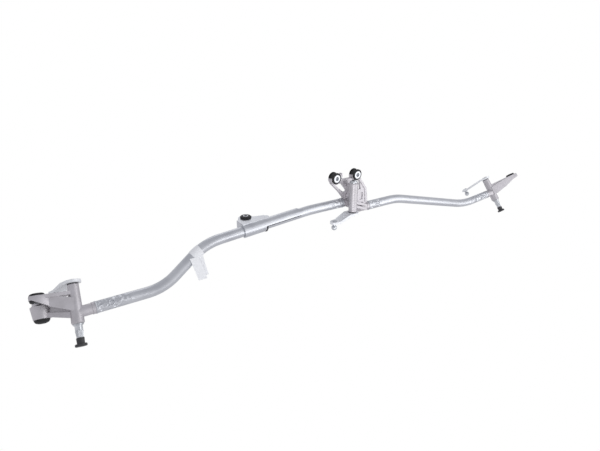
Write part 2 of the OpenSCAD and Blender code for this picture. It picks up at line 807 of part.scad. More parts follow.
module left_grommet() { at_left_eye() end_grommet(); }
module right_grommet() { at_right_eye() end_grommet(); }
module left_spacer() { at_left_eye() end_spacer(); }
module right_spacer() { at_right_eye() end_spacer(); }

module mid_grommet() {
    color(black_rubber) grommet(grommet_d, grommet_neck_d, spacer_d, sheet_t, grommet_flange_t);
}

module mid_spacer() {
    color(steel) spacer(spacer_d, spacer_bore, mid_grommet_len + 1);
}

// Rubber buffer: a dome under the socket with a stem pressed into it
module left_buffer() {
    color(black_rubber)
        at_left()
            translate([-socket_x, socket_y, socket_base]) {
                cylinder(d = buffer_stem_d, h = buffer_stem_len);
                translate([0, 0, -buffer_drop])
                    rotate_extrude()
                        polygon([[0, 0], [6, 0.4], [9.5, 1.8], [socket_d / 2 - 1, buffer_drop - 2],
                            [socket_d / 2 - 1, buffer_drop], [0, buffer_drop]]);
            }
}

module ear_bush() {
    color(black_rubber) grommet(ear_flange_d, ear_neck_d, ear_spacer_d, ear_t, ear_flange_t);
}

module ear_spacer() {
    color(steel) spacer(ear_spacer_d, ear_bore, ear_len + 1);
}

module left_ear_bush() { at_ear(left_ear) ear_bush(); }
module right_ear_bush() { at_ear(right_ear) ear_bush(); }
module left_ear_spacer() { at_ear(left_ear) ear_spacer(); }
module right_ear_spacer() { at_ear(right_ear) ear_spacer(); }

// Lever end of each sleeve
module left_seat() { at_left() translate([0, 0, left_sleeve_top]) children(); }
module right_seat() { at_right() translate([0, 0, right_sleeve_top]) children(); }
module centre_seat() { at_centre() children(); }

module left_bearings() { color(bronze) left_seat() bearing_pair(); }
module right_bearings() { color(bronze) right_seat() bearing_pair(); }
module centre_bearings() { color(bronze) centre_seat() bearing_pair(); }
module left_seal() { color(black_rubber) left_seat() seal_ring(); }
module right_seal() { color(black_rubber) right_seat() seal_ring(); }
module centre_seal() { color(black_rubber) centre_seat() seal_ring(); }

// Paper wrapped round the tube, its joined ends hanging as a flag
module label_flag() {
    half = label_w / 2;
    color(paper)
        placed() {
            difference() {
                intersection() {
                    rotate([90, 0, 0]) bent_bar(left_path, left_radii, tube_d / 2 + label_t);
                    translate([label_x, 0, label_z])
                        rotate([0, -steep_heading, 0]) cube([label_w, 2 * tube_d, 2 * tube_d], center = true);
                }
                rotate([90, 0, 0]) bent_bar(left_path, left_radii, tube_d / 2 + label_gap);
            }
            difference() {
                translate([label_x, label_t / 2, label_z])
                    rotate([90, 0, 0])
                        linear_extrude(label_t)
                            polygon([half * unit(steep_heading) * -1, half * unit(steep_heading),
                                half * unit(steep_heading) + [label_lean, -label_drop - 12],
                                half * unit(steep_heading) * -1 + [label_lean, -label_drop]]);
                rotate([90, 0, 0]) bent_bar(left_path, left_radii, tube_d / 2 + label_gap);
            }
        }
}

module left_spindle() { color(steel) left_seat() spindle(); }
module right_spindle() { color(steel) right_seat() spindle(); }
module centre_shaft() { color(steel) centre_seat() centre_journal(); }

module left_lever() {
    color(steel) left_seat() rotate([0, 0, left_lever_turn]) lever(left_lever_len, lever_step);
}

module right_lever() {
    color(steel) right_seat() rotate([0, 0, right_lever_turn]) lever(right_lever_len, lever_step);
}

module centre_lever() { color(steel) centre_seat() rotate([0, 0, 180]) centre_lever_body(); }

// The centre lever steps away from its sleeve
module centre_lever_body() {
    translate([0, 0, 2 * lever_seat + lever_t]) mirror([0, 0, 1]) lever(centre_lever_len, centre_lever_step);
}

module left_ball_stud() {
    color(steel) left_seat() rotate([0, 0, left_lever_turn]) ball_stud(left_lever_len, lever_step);
}

module right_ball_stud() {
    color(steel) right_seat() rotate([0, 0, right_lever_turn]) ball_stud(right_lever_len, lever_step);
}

module centre_ball_stud() {
    color(steel)
        centre_seat()
            rotate([0, 0, 180])
                translate([0, 0, 2 * lever_seat + lever_t])
                    mirror([0, 0, 1]) ball_stud(centre_lever_len, centre_lever_step);
}

module left_thrust_washer() { color(black_plastic) left_seat() thrust_washer(); }
module right_thrust_washer() { color(black_plastic) right_seat() thrust_washer(); }
module centre_thrust_washer() { color(black_plastic) centre_seat() thrust_washer(); }
module left_end_washer() { color(steel) left_seat() end_washer(); }
module right_end_washer() { color(steel) right_seat() end_washer(); }
module centre_end_washer() { color(steel) centre_seat() end_washer(); }
module left_retaining_ring() { color(steel) left_seat() retaining_ring(); }
module right_retaining_ring() { color(steel) right_seat() retaining_ring(); }
module centre_retaining_ring() { color(steel) centre_seat() retaining_ring(); }
module left_cap() { color(black_plastic) left_seat() cap(); }
module right_cap() { color(black_plastic) right_seat() cap(); }

left_housing();
right_housing();
centre_housing();
left_tube();
right_tube();
mid_bracket();
left_grommet();
right_grommet();
mid_grommet();
left_spacer();
right_spacer();
mid_spacer();
left_buffer();
left_ear_bush();
right_ear_bush();
left_ear_spacer();
right_ear_spacer();
left_bearings();
right_bearings();
centre_bearings();
left_seal();
right_seal();
centre_seal();
label_flag();
left_spindle();
left_lever();
left_ball_stud();
left_thrust_washer();
left_end_washer();
left_retaining_ring();
left_cap();
right_spindle();
right_lever();
right_ball_stud();
right_thrust_washer();
right_end_washer();
right_retaining_ring();
right_cap();
centre_shaft();
centre_lever();
centre_ball_stud();
centre_thrust_washer();
centre_end_washer();
centre_retaining_ring();
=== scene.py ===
import json
import math

import bpy
from mathutils import Matrix, Vector


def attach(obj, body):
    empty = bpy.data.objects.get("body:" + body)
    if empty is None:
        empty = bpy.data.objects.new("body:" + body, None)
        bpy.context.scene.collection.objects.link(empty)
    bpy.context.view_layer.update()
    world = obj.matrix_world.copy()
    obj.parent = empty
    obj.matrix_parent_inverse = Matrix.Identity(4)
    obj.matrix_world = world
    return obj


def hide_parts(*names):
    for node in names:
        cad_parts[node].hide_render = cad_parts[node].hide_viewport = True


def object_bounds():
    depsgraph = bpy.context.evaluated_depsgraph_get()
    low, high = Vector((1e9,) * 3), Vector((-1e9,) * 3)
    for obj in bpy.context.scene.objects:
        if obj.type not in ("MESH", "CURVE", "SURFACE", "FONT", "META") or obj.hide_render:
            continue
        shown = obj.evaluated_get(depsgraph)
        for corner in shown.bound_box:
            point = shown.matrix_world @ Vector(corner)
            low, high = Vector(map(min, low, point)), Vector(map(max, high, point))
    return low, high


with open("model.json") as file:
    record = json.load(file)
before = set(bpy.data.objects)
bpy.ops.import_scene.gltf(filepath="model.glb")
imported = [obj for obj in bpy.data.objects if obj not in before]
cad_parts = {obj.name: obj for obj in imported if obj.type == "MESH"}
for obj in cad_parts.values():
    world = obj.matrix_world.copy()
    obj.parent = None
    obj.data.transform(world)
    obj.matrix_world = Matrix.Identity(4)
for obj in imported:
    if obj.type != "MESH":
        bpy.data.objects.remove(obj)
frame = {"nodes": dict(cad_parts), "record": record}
cad_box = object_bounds()

MM = 0.001
# The part's origin, measured from the left spindle in millimetres
ORIGIN = Vector((325.0, 26.0, 83.511))
# Both tubes' radius, and an X past the far end of the right one
TUBE_R = 10.0
TUBES_END = 1100.0
# Left tube's second bend as X and Z, its radius, and the headings before and after it
SECOND_BEND = Vector((225.0, 63.5))
BEND_R = 100.0
STEEP = math.atan2(63.5, 82.0)
SLOPE = math.atan2(17.5, 233.0)
# The bracket's saddle and its tongue along the tube, and its sheet
SADDLE_X = 303.0
SADDLE_LEN = 48.0
TONGUE_LEN = 80.0
SHEET = 3.0


def linear(hex_colour):
    """An sRGB hex value as linear RGBA."""
    parts = [int(hex_colour[i:i + 2], 16) / 255 for i in (1, 3, 5)]
    return [c / 12.92 if c <= 0.04045 else ((c + 0.055) / 1.055) ** 2.4 for c in parts] + [1.0]


def per_metre(size_mm):
    """A texture scale whose features are about size_mm across."""
    return 1.0 / (size_mm * MM)


def add(tree, kind, inputs=None, links=None, stops=(), **settings):
    """Adds one node, with its settings, its socket values, the links into it and any colour stops."""
    node = tree.nodes.new(kind)
    for name, value in settings.items():
        setattr(node, name, value)
    for socket, value in (inputs or {}).items():
        node.inputs[socket].default_value = value
    for socket, source in (links or {}).items():
        tree.links.new(source, node.inputs[socket])
    if stops:
        band = node.color_ramp.elements
        for stop, (position, colour) in zip(band, (stops[0], stops[-1])):
            stop.position = position
            stop.color = linear(colour)
        for position, colour in stops[1:-1]:
            band.new(position).color = linear(colour)
    return node


def blank(name):
    """A new material with no nodes, and its tree."""
    material = bpy.data.materials.new(name)
    material.use_nodes = True
    material.node_tree.nodes.clear()
    return material, material.node_tree


def die_cast_aluminium():
    # Pressure die-cast aluminium, tumbled: a satin, slightly warm grey with cloudy flow marks and a fine grainy skin
    material, tree = blank("die_cast_aluminium")
    coords = add(tree, "ShaderNodeTexCoord").outputs["Object"]
    clouds = add(tree, "ShaderNodeTexNoise", {"Scale": per_metre(22), "Detail": 4.0}, {"Vector": coords})
    # The real grain is about 0.2 mm, too fine to show, so it is drawn coarser
    grain = add(tree, "ShaderNodeTexNoise", {"Scale": per_metre(1.1), "Detail": 3.0}, {"Vector": coords})
    colour = add(tree, "ShaderNodeValToRGB", links={"Fac": clouds.outputs["Fac"]},
                 stops=((0.3, "#c0bdc0"), (0.7, "#cfccd0")))
    rough = add(tree, "ShaderNodeMapRange", {"To Min": 0.42, "To Max": 0.58}, {"Value": clouds.outputs["Fac"]})
    rounded = add(tree, "ShaderNodeBevel", {"Radius": 0.7 * MM}, samples=4)
    bump = add(tree, "ShaderNodeBump", {"Strength": 0.05, "Distance": 0.05 * MM},
               {"Height": grain.outputs["Fac"], "Normal": rounded.outputs["Normal"]})
    surface = add(tree, "ShaderNodeBsdfPrincipled", {"Metallic": 1.0},
                  {"Base Color": colour.outputs["Color"], "Roughness": rough.outputs["Result"],
                   "Normal": bump.outputs["Normal"]})
    add(tree, "ShaderNodeOutputMaterial", links={"Surface": surface.outputs["BSDF"]})
    return material


# How strongly the punches worked the tubes at each X in millimetres, from black for not at all to white
CRIMPED = ((0, "#ffffff"), (66, "#ffffff"), (90, "#000000"), (490, "#000000"), (510, "#a0a0a0"),
           (660, "#a0a0a0"), (690, "#000000"), (985, "#000000"), (1010, "#ffffff"), (TUBES_END, "#ffffff"))


def zinc_plated_tube():
    # Drawn steel tube, zinc plated: a cool grey sheen with faint lengthways draw lines and dull patches, and a lumpy
    # skin where the ends were crimped
    material, tree = blank("zinc_plated_tube")
    coords = add(tree, "ShaderNodeTexCoord").outputs["Object"]
    stretch = add(tree, "ShaderNodeMapping", {"Scale": (0.03, 1.0, 1.0)}, {"Vector": coords})
    # The real draw lines are about 0.1 mm apart, too fine to show, so they are drawn coarser
    lines = add(tree, "ShaderNodeTexNoise", {"Scale": per_metre(1.6), "Detail": 2.0},
                {"Vector": stretch.outputs["Vector"]})
    patches = add(tree, "ShaderNodeTexNoise", {"Scale": per_metre(30), "Detail": 5.0}, {"Vector": coords})
    colour = add(tree, "ShaderNodeValToRGB", links={"Fac": patches.outputs["Fac"]},
                 stops=((0.3, "#c3c5ca"), (0.7, "#d3d5d9")))
    rough = add(tree, "ShaderNodeMapRange", {"To Min": 0.3, "To Max": 0.44}, {"Value": patches.outputs["Fac"]})
    drawn = add(tree, "ShaderNodeBump", {"Strength": 0.06, "Distance": 0.03 * MM}, {"Height": lines.outputs["Fac"]})
    length = add(tree, "ShaderNodeSeparateXYZ", links={"Vector": coords})
    share = add(tree, "ShaderNodeMapRange",
                {"From Min": -ORIGIN.x * MM, "From Max": (TUBES_END - ORIGIN.x) * MM}, {"Value": length.outputs["X"]})
    zones = add(tree, "ShaderNodeValToRGB", links={"Fac": share.outputs["Result"]},
                stops=[(x / TUBES_END, shade) for x, shade in CRIMPED])
    # The punches have tips about 6 mm across
    lumps = add(tree, "ShaderNodeTexVoronoi", {"Scale": per_metre(6)}, {"Vector": coords})
    pressed = add(tree, "ShaderNodeMath", links={0: lumps.outputs["Distance"], 1: zones.outputs["Color"]},
                  operation="MULTIPLY")
    bump = add(tree, "ShaderNodeBump", {"Strength": 1.0, "Distance": 1.8 * MM},
               {"Height": pressed.outputs["Value"], "Normal": drawn.outputs["Normal"]})
    surface = add(tree, "ShaderNodeBsdfPrincipled", {"Metallic": 1.0},
                  {"Base Color": colour.outputs["Color"], "Roughness": rough.outputs["Result"],
                   "Normal": bump.outputs["Normal"]})
    add(tree, "ShaderNodeOutputMaterial", links={"Surface": surface.outputs["BSDF"]})
    return material


def bright_zinc_steel(name, dark, light, rough_low, rough_high, metallic):
    # Blanked or turned steel with a bright zinc plate: pale, almost white highlights and a fine brushed haze
    material, tree = blank(name)
    coords = add(tree, "ShaderNodeTexCoord").outputs["Object"]
    haze = add(tree, "ShaderNodeTexNoise", {"Scale": per_metre(9), "Detail": 6.0}, {"Vector": coords})
    # The real brush marks are finer than 0.1 mm, too fine to show, so they are drawn coarser
    fine = add(tree, "ShaderNodeTexNoise", {"Scale": per_metre(0.8), "Detail": 2.0}, {"Vector": coords})
    colour = add(tree, "ShaderNodeValToRGB", links={"Fac": haze.outputs["Fac"]}, stops=((0.3, dark), (0.7, light)))
    rough = add(tree, "ShaderNodeMapRange", {"To Min": rough_low, "To Max": rough_high},
                {"Value": haze.outputs["Fac"]})
    rounded = add(tree, "ShaderNodeBevel", {"Radius": 0.4 * MM}, samples=4)
    bump = add(tree, "ShaderNodeBump", {"Strength": 0.05, "Distance": 0.04 * MM},
               {"Height": fine.outputs["Fac"], "Normal": rounded.outputs["Normal"]})
    surface = add(tree, "ShaderNodeBsdfPrincipled", {"Metallic": metallic},
                  {"Base Color": colour.outputs["Color"], "Roughness": rough.outputs["Result"],
                   "Normal": bump.outputs["Normal"]})
    add(tree, "ShaderNodeOutputMaterial", links={"Surface": surface.outputs["BSDF"]})
    return material


def moulded_black(name, dark, light, rough_low, rough_high, skin_mm):
    # Moulded rubber or plastic: deep black, broken only by a soft sheen and a fine moulded skin
    material, tree = blank(name)
    coords = add(tree, "ShaderNodeTexCoord").outputs["Object"]
    bloom = add(tree, "ShaderNodeTexNoise", {"Scale": per_metre(8), "Detail": 3.0}, {"Vector": coords})
    # The real moulded skin is about 0.1 mm, too fine to show, so it is drawn coarser
    skin = add(tree, "ShaderNodeTexNoise", {"Scale": per_metre(skin_mm), "Detail": 2.0}, {"Vector": coords})
    colour = add(tree, "ShaderNodeValToRGB", links={"Fac": bloom.outputs["Fac"]}, stops=((0.3, dark), (0.7, light)))
    rough = add(tree, "ShaderNodeMapRange", {"To Min": rough_low, "To Max": rough_high},
                {"Value": bloom.outputs["Fac"]})
    rounded = add(tree, "ShaderNodeBevel", {"Radius": 0.5 * MM}, samples=4)
    bump = add(tree, "ShaderNodeBump", {"Strength": 0.2, "Distance": 0.06 * MM},
               {"Height": skin.outputs["Fac"], "Normal": rounded.outputs["Normal"]})
    surface = add(tree, "ShaderNodeBsdfPrincipled",
                  links={"Base Color": colour.outputs["Color"], "Roughness": rough.outputs["Result"],
                         "Normal": bump.outputs["Normal"]})
    add(tree, "ShaderNodeOutputMaterial", links={"Surface": surface.outputs["BSDF"]})
    return material


def sintered_bronze():
    # Sintered bronze bush: dull brown-gold with open pores that hold oil
    material, tree = blank("sintered_bronze")
    coords = add(tree, "ShaderNodeTexCoord").outputs["Object"]
    # The real pores are about 0.05 mm, too fine to show, so they are drawn coarser
    pores = add(tree, "ShaderNodeTexNoise", {"Scale": per_metre(0.6), "Detail": 3.0}, {"Vector": coords})
    colour = add(tree, "ShaderNodeValToRGB", links={"Fac": pores.outputs["Fac"]},
                 stops=((0.35, "#6e5630"), (0.65, "#a4834c")))
    bump = add(tree, "ShaderNodeBump", {"Strength": 0.4, "Distance": 0.05 * MM}, {"Height": pores.outputs["Fac"]})
    surface = add(tree, "ShaderNodeBsdfPrincipled", {"Metallic": 1.0, "Roughness": 0.5},
                  {"Base Color": colour.outputs["Color"], "Normal": bump.outputs["Normal"]})
    add(tree, "ShaderNodeOutputMaterial", links={"Surface": surface.outputs["BSDF"]})
    return material


def label_paper():
    # Coated label paper: bluish white, with a soft fibre mottle and hardly any shine
    material, tree = blank("label_paper")
    coords = add(tree, "ShaderNodeTexCoord").outputs["Object"]
    # The real fibres are about 0.05 mm, too fine to show, so they are drawn coarser
    fibres = add(tree, "ShaderNodeTexNoise", {"Scale": per_metre(1.5), "Detail": 4.0}, {"Vector": coords})
    colour = add(tree, "ShaderNodeValToRGB", links={"Fac": fibres.outputs["Fac"]},
                 stops=((0.3, "#eeeff2"), (0.7, "#f7f8fa")))
    bump = add(tree, "ShaderNodeBump", {"Strength": 0.1, "Distance": 0.05 * MM}, {"Height": fibres.outputs["Fac"]})
    surface = add(tree, "ShaderNodeBsdfPrincipled", {"Roughness": 0.65},
                  {"Base Color": colour.outputs["Color"], "Normal": bump.outputs["Normal"]})
    add(tree, "ShaderNodeOutputMaterial", links={"Surface": surface.outputs["BSDF"]})
    return material


def weld_painted_shade():
    # Arc weld drawn dark as painted shade: its darkness stands in for the shadow in the gaps along the bracket's
    # tongue and at the saddle's end. Uneven dark patches, with next to no shine
    material, tree = blank("weld_painted_shade")
    coords = add(tree, "ShaderNodeTexCoord").outputs["Object"]
    scale = add(tree, "ShaderNodeTexNoise", {"Scale": per_metre(2.5), "Detail": 4.0}, {"Vector": coords})
    colour = add(tree, "ShaderNodeValToRGB", links={"Fac": scale.outputs["Fac"]},
                 stops=((0.3, "#232326"), (0.7, "#3c3b3f")))
    surface = add(tree, "ShaderNodeBsdfPrincipled", {"Metallic": 0.4, "Roughness": 0.6},
                  {"Base Color": colour.outputs["Color"]})
    add(tree, "ShaderNodeOutputMaterial", links={"Surface": surface.outputs["BSDF"]})
    return material


FINISHES = {
    "cast_aluminium": die_cast_aluminium(),
    "zinc_steel": zinc_plated_tube(),
    "lever_steel": bright_zinc_steel("zinc_plated_lever", "#e9ebee", "#f5f6f8", 0.38, 0.52, 0.35),
    "bright_steel": bright_zinc_steel("turned_zinc_steel", "#bcbfc3", "#d8dadd", 0.18, 0.32, 1.0),
    "rubber": moulded_black("moulded_rubber", "#161617", "#212123", 0.55, 0.75, 0.9),
    "bronze": sintered_bronze(),
    "black_plastic": moulded_black("moulded_nylon", "#333335", "#3e3e41", 0.4, 0.55, 1.2),
    "paper": label_paper(),
}
# Dark weld finish: painted shade for the shadowed gaps at the bracket's tongue and saddle end
WELD_SHADE = weld_painted_shade()


def dress_cad_nodes():
    """Gives every CAD node the finish of its record slot."""
    for part in frame["record"]["subparts"]:
        node = frame["nodes"][part["node"]]
        node.data.materials.clear()
        node.data.materials.append(FINISHES[part["material_slot"]])


def at(x, y, z):
    """A point measured from the left spindle in millimetres, in the part's frame."""
    return (Vector((x, y, z)) - ORIGIN) * MM


def start(add_primitive, name, **sizes):
    """Begins a piece from a primitive, which the steps after it shape."""
    bpy.ops.object.select_all(action="DESELECT")
    add_primitive(**sizes)
    piece = bpy.context.object
    piece.name = name
    return piece


def pick(piece, wanted):
    """Goes to edit mode with only the vertices that wanted accepts selected."""
    bpy.ops.object.mode_set(mode="EDIT")
    bpy.ops.mesh.select_mode(type="VERT")
    bpy.ops.mesh.select_all(action="DESELECT")
    bpy.ops.object.mode_set(mode="OBJECT")
    for vertex in piece.data.vertices:
        vertex.select = wanted(vertex.co)
    bpy.ops.object.mode_set(mode="EDIT")


def place(piece, matrix):
    """Moves a piece's mesh, so that the object itself stays at the origin."""
    bpy.ops.object.mode_set(mode="OBJECT")
    piece.matrix_world = matrix
    bpy.ops.object.transform_apply(location=True, rotation=True, scale=True)


def along(middle, direction):
    """A frame at a point whose Z follows a direction."""
    return Matrix.Translation(middle) @ Vector(direction).to_track_quat("Z", "Y").to_matrix().to_4x4()


def modify(piece, kind, **settings):
    """Adds a modifier and applies it."""
    bpy.ops.object.mode_set(mode="OBJECT")
    modifier = piece.modifiers.new(kind.lower(), kind)
    for name, value in settings.items():
        setattr(modifier, name, value)
    bpy.ops.object.modifier_apply(modifier=modifier.name)


# Points closer than this in millimetres are one point
SAME_POINT = 0.01


def sweep(angle, steps, centre, axis):
    """Spins the whole mesh into a solid or a skin about an axis."""
    bpy.ops.object.mode_set(mode="EDIT")
    bpy.ops.mesh.select_all(action="SELECT")
    # Spin turns the other way round the axis, so the angle is reversed
    bpy.ops.mesh.spin(steps=steps, angle=-angle, center=centre, axis=axis)
    bpy.ops.mesh.select_all(action="SELECT")
    bpy.ops.mesh.remove_doubles(threshold=SAME_POINT * MM)
    bpy.ops.mesh.normals_make_consistent(inside=False)
    bpy.ops.object.mode_set(mode="OBJECT")


def settle(piece, slot, body, finish=None):
    """Gives a piece its finish and fixes it to its body."""
    bpy.ops.object.mode_set(mode="OBJECT")
    bpy.ops.object.shade_smooth_by_angle(angle=math.radians(35))
    piece.data.materials.clear()
    piece.data.materials.append(finish or FINISHES[slot])
    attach(piece, body)


def set_out(model, slot, spots):
    """Puts a copy of a model, with its own mesh, on a body in every spot, and takes the model away."""
    bpy.ops.object.mode_set(mode="OBJECT")
    for name, (body, matrix) in spots.items():
        bpy.ops.object.select_all(action="DESELECT")
        model.select_set(True)
        bpy.context.view_layer.objects.active = model
        bpy.ops.object.duplicate()
        piece = bpy.context.object
        piece.name = name
        place(piece, matrix)
        settle(piece, slot, body)
    bpy.data.objects.remove(model)


# Teeth of the taper that a wiper arm grips: how many, how far they widen it, how much it narrows in millimetres
# and the share of the seat that they cover
SPLINE_TEETH = 30
TOOTH = 1.08
TAPER = 1.0
SPLINED = 0.9


def arm_splines():
    """Splines over the two equal spindle tapers, from the arm seats in the record."""
    mounts = {mount["name"]: mount for mount in frame["record"]["mounts"]}
    seats = {side: mounts[side + "_arm_seat"] for side in ("left", "right")}
    sizes = seats["left"]["dims"]
    model = start(bpy.ops.mesh.primitive_cone_add, "spline_model", vertices=2 * SPLINE_TEETH,
                  radius1=sizes["r_mm"] * MM, radius2=(sizes["r_mm"] - TAPER) * MM,
                  depth=SPLINED * sizes["length_mm"] * MM, end_fill_type="NGON")
    pick(model, lambda co: round(math.atan2(co.y, co.x) * SPLINE_TEETH / math.pi) % 2 == 0)
    bpy.ops.transform.resize(value=(TOOTH, TOOTH, 1.0))
    set_out(model, "bright_steel",
            {side + "_arm_splines": (side + "_pivot", along(Vector(seat["pos_m"]), seat["axis"]))
             for side, seat in seats.items()})


# The rolled lip at a tube's end in millimetres
RIM_LEN = 2.0
RIM_HEIGHT = 0.6


def tube_rims(middles):
    """The rolled lips where the tubes are crimped on their spigots."""
    model = start(bpy.ops.mesh.primitive_cylinder_add, "rim_model", vertices=64, radius=TUBE_R * MM,
                  depth=RIM_LEN * MM, end_fill_type="NOTHING")
    modify(model, "SOLIDIFY", thickness=RIM_HEIGHT * MM, offset=1.0)
    modify(model, "BEVEL", width=0.25 * MM, segments=2)
    set_out(model, "zinc_steel",
            {name: ("frame", along(at(*middle), (1, 0, 0))) for name, middle in middles.items()})


# The ring round a punch mark in millimetres: its own radius, its wire's and how deep it sits in the tube.
# The marks face the front, turned up from level.
RING_R = 4.5
RING_WIRE = 1.1
RING_SUNK = 0.4
CRIMP_TURN = math.radians(35)


def crimp_rings(middles):
    """The raised rings that the crimping punch leaves round its dents in the tubes' fronts."""
    model = start(bpy.ops.mesh.primitive_circle_add, "ring_model", vertices=10, radius=RING_WIRE * MM)
    place(model, along((RING_R * MM, 0, 0), (0, 1, 0)))
    sweep(2 * math.pi, 32, (0, 0, 0), (0, 0, 1))
    out = Vector((0, -math.cos(CRIMP_TURN), math.sin(CRIMP_TURN)))
    set_out(model, "zinc_steel",
            {name: ("frame", along(at(*middle) + out * (TUBE_R - RING_SUNK) * MM, out))
             for name, middle in middles.items()})


# The label in millimetres: its paper, the part round the tube and the width of its free ends
PAPER = 0.25
BAND_LEN = 18.0
BAND_GAP = 0.35
LEAF_WIDTH = 17.0
LEAF_ROWS = 8


def label_band():
    """The part of the label that is wrapped round the tube, on its bend."""
    reach = BEND_R * math.tan((STEEP - SLOPE) / 2)
    foot = SECOND_BEND - reach * Vector((math.cos(STEEP), math.sin(STEEP)))
    centre = foot + BEND_R * Vector((math.sin(STEEP), -math.cos(STEEP)))
    piece = start(bpy.ops.mesh.primitive_circle_add, "label_band", vertices=48, radius=(TUBE_R + BAND_GAP) * MM)
    place(piece, along(at(foot.x, 0, foot.y), (math.cos(STEEP), 0, math.sin(STEEP))))
    sweep(BAND_LEN / BEND_R, 6, at(centre.x, 0, centre.y), (0, 1, 0))
    modify(piece, "SOLIDIFY", thickness=PAPER * MM, offset=1.0)
    settle(piece, "paper", "frame")
    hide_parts("label_flag")


def label_leaf(name, top, drop, lean, swing):
    """A free end of the label: it hangs from the band, leans along the tube and curls a little."""
    piece = start(bpy.ops.mesh.primitive_grid_add, name, x_subdivisions=4, y_subdivisions=LEAF_ROWS, size=1)
    piece.scale = (LEAF_WIDTH * MM, drop * MM, 1)
    bpy.ops.object.transform_apply(scale=True)
    for row in range(LEAF_ROWS):
        below = (0.5 - (row + 0.5) / LEAF_ROWS) * drop * MM
        pick(piece, lambda co: co.y < below)
        curl = swing * math.cos(math.pi * row / LEAF_ROWS)
        bpy.ops.transform.translate(value=(lean / LEAF_ROWS * MM, 0, curl / LEAF_ROWS * MM))
    modify(piece, "SOLIDIFY", thickness=PAPER * MM, offset=0.0)
    upright = Matrix(((1, 0, 0, 0), (0, 0, -1, 0), (0, 1, 0, 0), (0, 0, 0, 1)))
    place(piece, Matrix.Translation(at(*top) - Vector((0, 0, drop / 2 * MM))) @ upright)
    settle(piece, "paper", "frame")
    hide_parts("label_flag")


# The left sleeve leans forward and out
SLEEVE_LEAN = Matrix.Rotation(math.radians(-35), 4, "X") @ Matrix.Rotation(math.radians(6.5), 4, "Y")
LEFT_SLEEVE = Matrix.Translation(at(0, 0, 0)) @ SLEEVE_LEAN
# Web past the left eye: X, Y and the heights of its foot and its top at each column, in the sleeve's frame
EYE_WALL = {1: (-37.0, -8.6, 16.8, 34.6), 0: (-52.0, -13.2, 24.6, 35.9), -1: (-63.5, -12.0, 31.2, 35.8)}
EYE_WALL_THICK = 1.8


def left_eye_wall():
    """The front web carried on past the eye to a thin tip, which hides most of the grommet."""
    piece = start(bpy.ops.mesh.primitive_grid_add, "left_eye_wall", x_subdivisions=2, y_subdivisions=1, size=2)
    for column, (x, y, foot, top) in EYE_WALL.items():
        for row, z in ((-1, foot), (1, top)):
            pick(piece, lambda co: (round(co.x), round(co.y)) == (column, row) and abs(co.z) < 1e-6)
            bpy.ops.transform.translate(value=(x * MM - column, y * MM - row, z * MM))
    modify(piece, "SOLIDIFY", thickness=EYE_WALL_THICK * MM, offset=0.0)
    modify(piece, "BEVEL", width=0.5 * MM, segments=2)
    place(piece, LEFT_SLEEVE)
    settle(piece, "cast_aluminium", "frame")


# The buffer's socket in millimetres: its middle in the left sleeve's frame, its radius, and the crown's height,
# draft, rim and recess
SOCKET = Vector((-48.0, 23.2, 28.0))
SOCKET_R = 12.2
CROWN_HEIGHT = 7.0
CROWN_DRAFT = 0.94
CROWN_RIM = 3.0
CROWN_RECESS = 2.0


def socket_crown():
    """The top of the buffer's socket, which rises to the underside of the eye."""
    piece = start(bpy.ops.mesh.primitive_cylinder_add, "socket_crown", vertices=48, radius=SOCKET_R * MM,
                  depth=CROWN_HEIGHT * MM)
    pick(piece, lambda co: co.z > 0)
    bpy.ops.transform.resize(value=(CROWN_DRAFT, CROWN_DRAFT, 1.0))
    bpy.ops.mesh.inset(thickness=CROWN_RIM * MM)
    bpy.ops.mesh.extrude_region_move(TRANSFORM_OT_translate={"value": (0, 0, -CROWN_RECESS * MM)})
    modify(piece, "BEVEL", width=0.7 * MM, segments=2, limit_method="ANGLE")
    place(piece, LEFT_SLEEVE @ Matrix.Translation(SOCKET * MM))
    settle(piece, "cast_aluminium", "frame")


def on_saddle(x):
    """The frame on the tube's axis at an X of the bracket: Z along the tube, X down and Y to the back."""
    z = SECOND_BEND.y + (x - SECOND_BEND.x) * math.tan(SLOPE)
    return Matrix.Translation(at(x, 0, z)) @ Matrix.Rotation(math.pi / 2 - SLOPE, 4, "Y")


def round_tube(turn):
    """The direction from the tube's axis, turned down from its front."""
    return Vector((math.sin(turn), -math.cos(turn), 0))


# Where the skirt and the weld at its end begin and end round the tube
SKIRT_TURN = math.radians(24), math.radians(80)
WELD_TURN = math.radians(-4), math.radians(84)
# The skirt is this much thinner than the bracket's sheet, in millimetres
SKIRT_THINNER = 0.4


def saddle_skirt():
    """The saddle's front edge, carried on under the tube."""
    first, last = SKIRT_TURN
    piece = start(bpy.ops.mesh.primitive_plane_add, "saddle_skirt", size=1)
    piece.scale = ((SHEET - SKIRT_THINNER) * MM, SADDLE_LEN * MM, 1)
    bpy.ops.object.transform_apply(scale=True)
    out = round_tube(first)
    square = Matrix(((out.x, 0, out.y, 0), (out.y, 0, -out.x, 0), (0, 1, 0, 0), (0, 0, 0, 1)))
    middle = out * (TUBE_R + SHEET / 2) * MM + Vector((0, 0, SADDLE_LEN / 2 * MM))
    place(piece, Matrix.Translation(middle) @ square)
    sweep(last - first, 12, (0, 0, 0), (0, 0, 1))
    modify(piece, "BEVEL", width=0.4 * MM, segments=2, limit_method="ANGLE")
    place(piece, on_saddle(SADDLE_X))
    settle(piece, "zinc_steel", "frame")


def ripple(piece, height, seed):
    """The uneven skin of a weld."""
    pick(piece, lambda co: True)
    bpy.ops.transform.vertex_random(offset=height * MM, uniform=0.0, normal=0.0, seed=seed)
    bpy.ops.object.mode_set(mode="OBJECT")


# The welds' beads in millimetres: their radii, and how far their middles lie off the tube's skin
END_BEAD = 1.9
END_BEAD_OFF = 2.0
TONGUE_BEAD = 0.9
TONGUE_BEAD_OFF = 1.3
TONGUE_STEPS = 40


